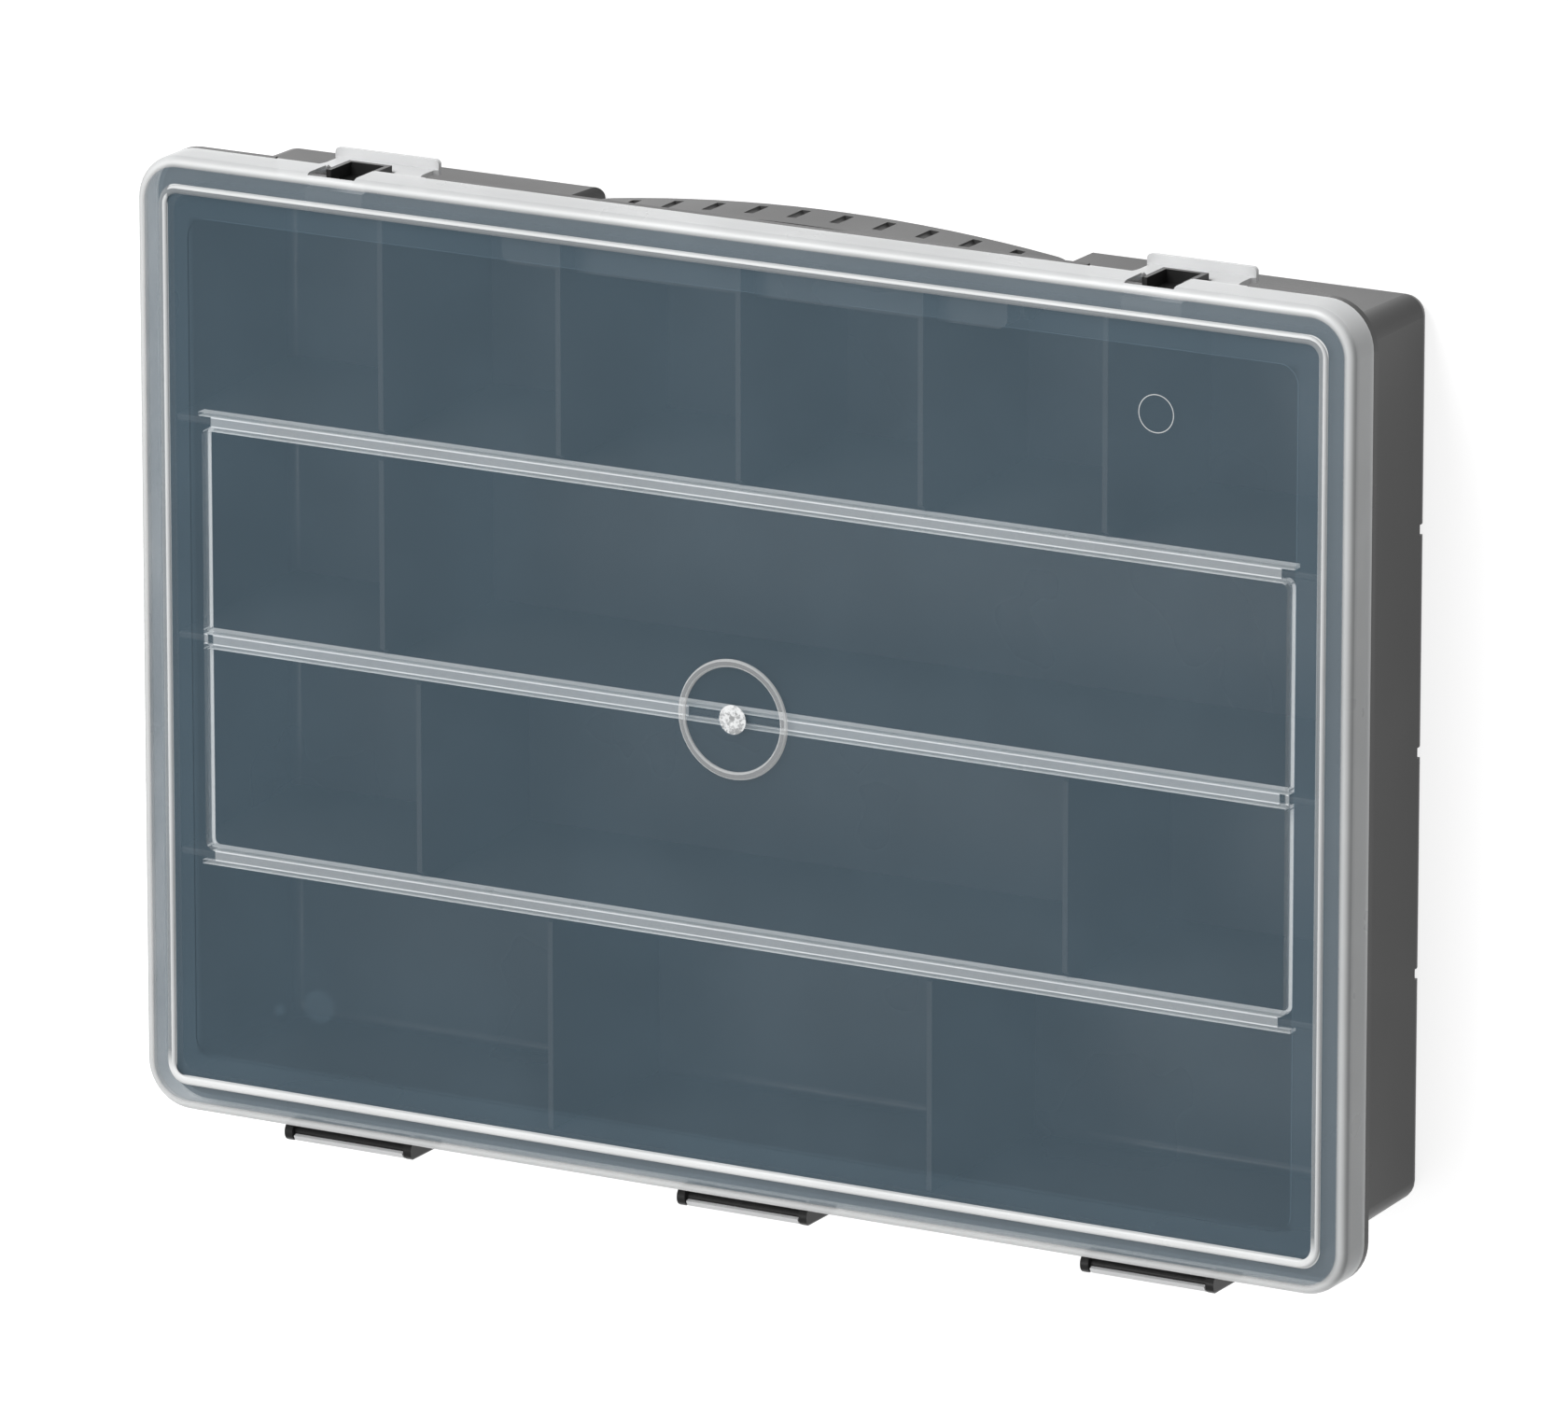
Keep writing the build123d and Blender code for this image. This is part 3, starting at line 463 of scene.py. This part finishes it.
def moulded_black(name, colour, roughness, grain_strength, specular):
    """Satin black moulded plastic: fine spark-eroded grain, faint flow marks."""
    material, tree, output = new_material(name)
    shader = put(tree, "ShaderNodeBsdfPrincipled")
    flow = noise(tree, FLOW_SCALE, 3.0)
    feed(tree, shader.inputs["Base Color"], uneven(tree, flow, colour, BLACK_SPREAD))
    satin = drift(tree, flow, roughness - SATIN_SPREAD, roughness + SATIN_SPREAD)
    feed(tree, shader.inputs["Roughness"], satin)
    shader.inputs["IOR"].default_value = PLASTIC_IOR
    shader.inputs["Specular IOR Level"].default_value = specular
    grain = noise(tree, GRAIN_SCALE, 1.0)
    feed(tree, shader.inputs["Normal"], bump(tree, grain, grain_strength))
    tree.links.new(shader.outputs[0], output.inputs["Surface"])
    return material


def translucent(name, veil, tint, roughness):
    """Frosted polypropylene: a milky veil with its own tint over what lies behind."""
    material, tree, output = new_material(name)
    shader = put(tree, "ShaderNodeBsdfPrincipled")
    milkiness = veil(tree)
    cloud = drift(tree, noise(tree, CLOUD_SCALE, 3.0), 1 - CLOUD_SPREAD, 1 + CLOUD_SPREAD)
    solid = math_node(tree, "MINIMUM", times(tree, milkiness, cloud), 1.0)
    feed(tree, shader.inputs["Base Color"], tint(tree, milkiness))
    feed(tree, shader.inputs["Alpha"], solid)
    frost = noise(tree, FROST_SCALE, 4.0)
    frosted = drift(tree, frost, roughness - FROST_SPREAD, roughness + FROST_SPREAD)
    feed(tree, shader.inputs["Roughness"], frosted)
    shader.inputs["IOR"].default_value = PLASTIC_IOR
    grain = noise(tree, FROST_GRAIN_SCALE)
    feed(tree, shader.inputs["Normal"], bump(tree, grain, FROST_STRENGTH))
    tree.links.new(shader.outputs[0], output.inputs["Surface"])
    return material


def dress():
    """Gives every node its material, by its body and name."""
    black = moulded_black(
        "black_polypropylene", BLACK, roughness=0.3, grain_strength=0.08, specular=0.25)
    # Painted shade: the dividers inside the box are a darker black
    inner_shade_black = moulded_black(
        "inner_black_polypropylene", INNER_SHADE_BLACK, roughness=0.55, grain_strength=0.05, specular=0.3)
    # The handle's lighter base colour is partly painted sheen
    handle = moulded_black(
        "handle_polypropylene_with_painted_sheen", HANDLE_BLACK_AND_SHEEN, roughness=0.4, grain_strength=0.15, specular=0.5)
    lid = translucent("lid_polypropylene", lid_veil, lid_tint, roughness=0.3)
    ribs = translucent("rib_polypropylene", rib_veil, plain_tint(MILKY_WHITE), roughness=0.3)
    latch = translucent(
        "latch_polypropylene", cloudy_veil(*LATCH_VEILS), plain_tint(LATCH_WHITE), roughness=0.34)
    hook = translucent(
        "hook_polypropylene", cloudy_veil(*HOOK_VEILS), plain_tint(LATCH_WHITE), roughness=0.34)
    for name, node in NODES.items():
        body = next(b for b, members in BODIES.items() if name in members)
        if body == "tray":
            material = inner_shade_black if "divider" in name else black
        elif body == "handle":
            material = handle
        elif body != "lid":
            material = latch
        elif name == "lid":
            material = lid
        else:
            material = ribs if name == "lid_seal_ribs" else hook
        node.data.materials.clear()
        node.data.materials.append(material)


# Stage

def floor():
    """A pale floor that the camera sees as white, with the object's shadow. From beneath it is clear."""
    reach = FLOOR_HALF_WIDTH
    mesh = bpy.data.meshes.new("floor")
    corners = [(-reach, -reach, 0), (reach, -reach, 0), (reach, reach, 0), (-reach, reach, 0)]
    mesh.from_pydata(corners, [], [(0, 1, 2, 3)])
    plane = bpy.data.objects.new("floor", mesh)
    SCENE.collection.objects.link(plane)
    plane.location.z = -FLOOR_DROP
    material, tree, output = new_material("floor_white")
    diffuse = put(tree, "ShaderNodeBsdfDiffuse")
    diffuse.inputs["Color"].default_value = opaque([FLOOR_GREY] * 3)
    glow = put(tree, "ShaderNodeEmission")
    path = put(tree, "ShaderNodeLightPath")
    seen = largest(tree, [path.outputs[f"Is {ray} Ray"] for ray in ("Camera", "Glossy", "Transmission")])
    feed(tree, glow.inputs["Strength"], times(tree, seen, FLOOR_GLOW))
    both = put(tree, "ShaderNodeAddShader")
    tree.links.new(diffuse.outputs[0], both.inputs[0])
    tree.links.new(glow.outputs[0], both.inputs[1])
    clear = put(tree, "ShaderNodeBsdfTransparent")
    side = put(tree, "ShaderNodeNewGeometry")
    one_sided = put(tree, "ShaderNodeMixShader")
    tree.links.new(side.outputs["Backfacing"], one_sided.inputs[0])
    tree.links.new(both.outputs[0], one_sided.inputs[1])
    tree.links.new(clear.outputs[0], one_sided.inputs[2])
    tree.links.new(one_sided.outputs[0], output.inputs["Surface"])
    mesh.materials.append(material)


def world():
    """Soft white surroundings, which the camera sees as white."""
    sky = bpy.data.worlds.new("studio")
    sky.use_nodes = True
    tree = sky.node_tree
    tree.nodes.clear()
    output = put(tree, "ShaderNodeOutputWorld")
    glow = put(tree, "ShaderNodeBackground")
    path = put(tree, "ShaderNodeLightPath")
    seen = largest(tree, [path.outputs["Is Camera Ray"], path.outputs["Is Transmission Ray"]])
    feed(tree, glow.inputs["Strength"], mapped(tree, seen, 0.0, 1.0, WORLD_LIGHT, 1.0, smooth=False))
    tree.links.new(glow.outputs[0], output.inputs["Surface"])
    SCENE.world = sky


def area_lamp(name, place, size, power):
    """A square softbox aimed at the middle of the lid."""
    data = bpy.data.lights.new(name, "AREA")
    data.shape = "SQUARE"
    data.size = size
    data.energy = power
    lamp = bpy.data.objects.new(name, data)
    SCENE.collection.objects.link(lamp)
    lamp.location = place
    lamp.rotation_mode = "QUATERNION"
    lamp.rotation_quaternion = (LID_MIDDLE - Vector(place)).to_track_quat("-Z", "Y")


def camera():
    """The camera of the photograph, upright with -Y up in the picture."""
    data = bpy.data.cameras.new("camera")
    data.lens = CAMERA_LENS
    data.sensor_width = CAMERA_SENSOR
    data.clip_end = CAMERA_REACH
    eye = bpy.data.objects.new("camera", data)
    SCENE.collection.objects.link(eye)
    back = (Vector(CAMERA_PLACE) - Vector(CAMERA_AIM)).normalized()
    right = Vector((0, -1, 0)).cross(back).normalized()
    up = back.cross(right)
    turn = Matrix((right, up, back)).transposed().to_4x4()
    eye.matrix_world = Matrix.Translation(CAMERA_PLACE) @ turn
    SCENE.camera = eye


SCENE.view_settings.view_transform = "Standard"
camera()
world()
floor()
for lamp_name, (lamp_place, lamp_size, lamp_power) in LAMPS.items():
    area_lamp(lamp_name, lamp_place, lamp_size, lamp_power)
dress()
